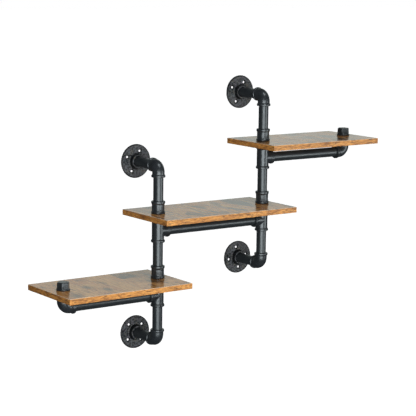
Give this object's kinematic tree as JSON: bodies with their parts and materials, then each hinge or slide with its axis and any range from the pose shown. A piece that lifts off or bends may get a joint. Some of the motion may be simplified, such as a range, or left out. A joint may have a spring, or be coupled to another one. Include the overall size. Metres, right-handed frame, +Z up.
{
  "type": "wall shelf",
  "caption": "Stepped wall shelf: wooden boards clamped on black iron pipe columns that stand off the wall on round screw flanges",
  "frame": {"origin": "Centre of the left column's upper flange, on its flat back where it meets the wall", "axes": "+X along the wall to the right seen from the front, +Y into the wall, +Z up. The wall is the plane Y = 0 and the shelf stands in front of it, at negative Y."},
  "size_m": [1.054, 0.2265, 0.7726],
  "materials": {
    "pipe_steel": "satin black powder coat on drawn steel pipe",
    "fitting_iron": "satin black powder coat on malleable iron, with a fine cast texture",
    "flange_iron": "satin black powder coat on malleable iron, with a coarse mottled cast texture",
    "board_wood": "semi-gloss rustic wood grain with dark streaks and knots",
    "edge_wood": "satin honey-brown wood grain edging with small dark knots"
  },
  "bodies": {
    "root": {"left_bottom_elbow": "fitting_iron", "left_bottom_flange": "flange_iron", "left_bottom_riser": "pipe_steel", "left_bottom_standoff_pipe": "pipe_steel", "left_lower_board_pipe": "pipe_steel", "left_lower_coupling": "fitting_iron", "left_lower_riser": "pipe_steel", "left_lower_tee": "fitting_iron", "left_middle_board_pipe": "pipe_steel", "left_middle_coupling": "fitting_iron", "left_middle_riser": "pipe_steel", "left_middle_tee": "fitting_iron", "left_top_elbow": "fitting_iron", "left_top_flange": "flange_iron", "left_top_standoff_pipe": "pipe_steel", "lower_board": "board_wood", "lower_board_edge_strips": "edge_wood", "lower_cap": "fitting_iron", "lower_rail": "pipe_steel", "lower_rail_board_pipe": "pipe_steel", "lower_rail_elbow": "fitting_iron", "middle_board": "board_wood", "middle_board_edge_strips": "edge_wood", "middle_rail": "pipe_steel", "right_bottom_elbow": "fitting_iron", "right_bottom_flange": "flange_iron", "right_bottom_riser": "pipe_steel", "right_bottom_standoff_pipe": "pipe_steel", "right_middle_board_pipe": "pipe_steel", "right_middle_coupling": "fitting_iron", "right_middle_riser": "pipe_steel", "right_middle_tee": "fitting_iron", "right_top_elbow": "fitting_iron", "right_top_flange": "flange_iron", "right_top_standoff_pipe": "pipe_steel", "right_upper_board_pipe": "pipe_steel", "right_upper_coupling": "fitting_iron", "right_upper_riser": "pipe_steel", "right_upper_tee": "fitting_iron", "upper_board": "board_wood", "upper_board_edge_strips": "edge_wood", "upper_cap": "fitting_iron", "upper_rail": "pipe_steel", "upper_rail_board_pipe": "pipe_steel", "upper_rail_elbow": "fitting_iron"}
  },
  "joints": []
}
